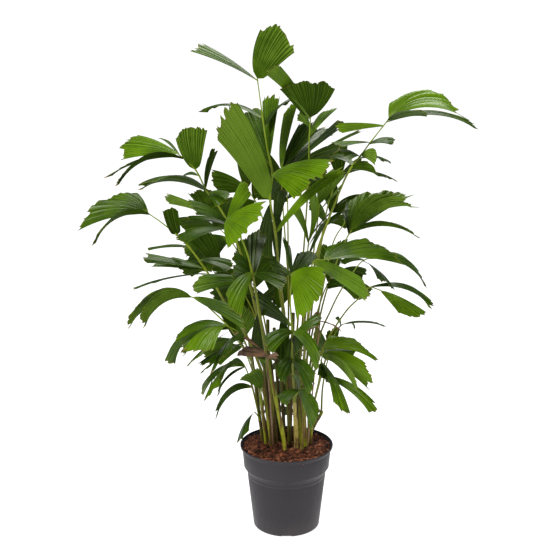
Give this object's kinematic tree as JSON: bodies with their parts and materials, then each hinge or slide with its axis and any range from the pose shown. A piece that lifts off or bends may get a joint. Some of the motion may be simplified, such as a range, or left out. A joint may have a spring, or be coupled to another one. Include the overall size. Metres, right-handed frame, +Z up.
{
  "type": "potted fishtail palm",
  "caption": "Clump of slender palm canes with arching fronds of jagged, fan-shaped leaflets, growing from chip mix in a round lipped pot.",
  "frame": {"origin": "centre of the pot's base, on the surface that the pot stands on", "axes": "+Z up along the pot's axis, -Y towards the front"},
  "size_m": [0.9701, 0.6484, 1.297],
  "materials": {
    "pot_plastic": "dark grey moulded plastic, satin",
    "potting_mix": "damp reddish-brown bark and peat chips",
    "cane": "yellow-green to tan sheathed cane",
    "frond": "glossy ribbed green leaf",
    "dried_frond": "dry brown leaf"
  },
  "bodies": {
    "root": {"nursery_pot": "pot_plastic", "potting_mix": "potting_mix", "cane_tall": "cane", "cane_upper_right": "cane", "cane_right_top": "cane", "cane_inner_right": "cane", "cane_right_middle": "cane", "cane_right": "cane", "cane_front": "cane", "cane_left_centre": "cane", "cane_left_top": "cane", "cane_left_middle": "cane", "cane_left_low": "cane", "cane_left_foot": "cane", "cane_right_low": "cane", "cane_back_left": "cane", "cane_back_centre": "cane", "cane_back_right": "cane", "cane_back_low": "cane", "cane_back_foot": "cane", "cane_old_left": "cane", "cane_old_far_left": "cane", "cane_old_middle": "cane", "cane_old_front": "cane", "cane_old_right": "cane", "cane_old_back_left": "cane", "cane_old_back": "cane", "crown_tall": "frond", "crown_upper_right": "frond", "crown_right_top": "frond", "crown_inner_right": "frond", "crown_right_middle": "frond", "crown_right": "frond", "crown_front": "frond", "crown_left_centre": "frond", "crown_left_top": "frond", "crown_left_middle": "frond", "crown_left_low": "frond", "crown_left_foot": "frond", "crown_right_low": "frond", "crown_back_left": "frond", "crown_back_centre": "frond", "crown_back_right": "frond", "crown_back_low": "frond", "crown_back_foot": "frond", "dried_frond_left": "dried_frond", "dried_frond_right": "dried_frond"}
  },
  "joints": []
}
